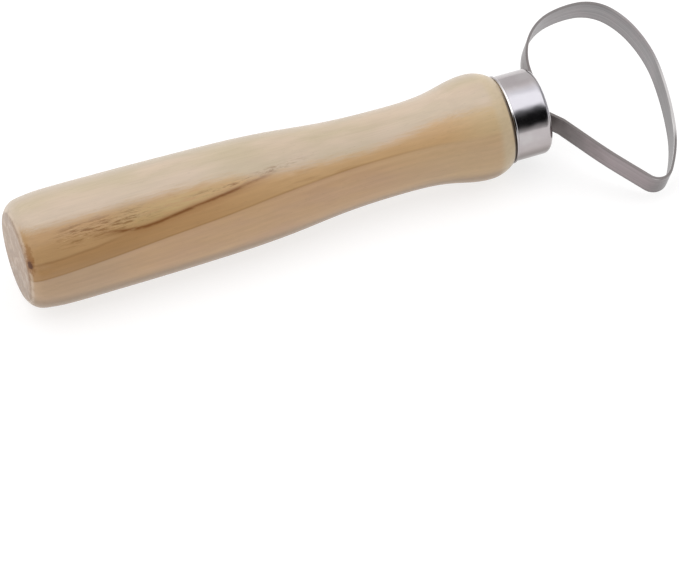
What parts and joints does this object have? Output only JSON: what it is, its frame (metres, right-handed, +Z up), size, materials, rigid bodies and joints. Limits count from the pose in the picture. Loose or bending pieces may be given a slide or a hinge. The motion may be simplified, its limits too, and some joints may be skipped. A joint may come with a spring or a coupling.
{
  "type": "clay modeling tool",
  "caption": "Hand tool for trimming clay: turned wooden handle with a waist, a short metal ferrule and a D-shaped loop of flat steel strip.",
  "frame": {"origin": "centre of the handle's flat butt end, on the handle's axis", "axes": "+X along the handle from the butt to the loop, +Z up as the tool lies on its side"},
  "size_m": [0.1642, 0.0495, 0.028],
  "materials": {
    "lacquered_wood": "clear gloss lacquer over pale, tight-grained wood with a brown heartwood streak",
    "chrome": "bright chrome plating",
    "strip_steel": "satin rolled steel with lengthwise lines",
    "epoxy": "cured amber casting epoxy"
  },
  "bodies": {
    "root": {"handle": "lacquered_wood", "ferrule": "chrome", "ribbon_loop": "strip_steel", "tang_glue": "epoxy"}
  },
  "joints": []
}
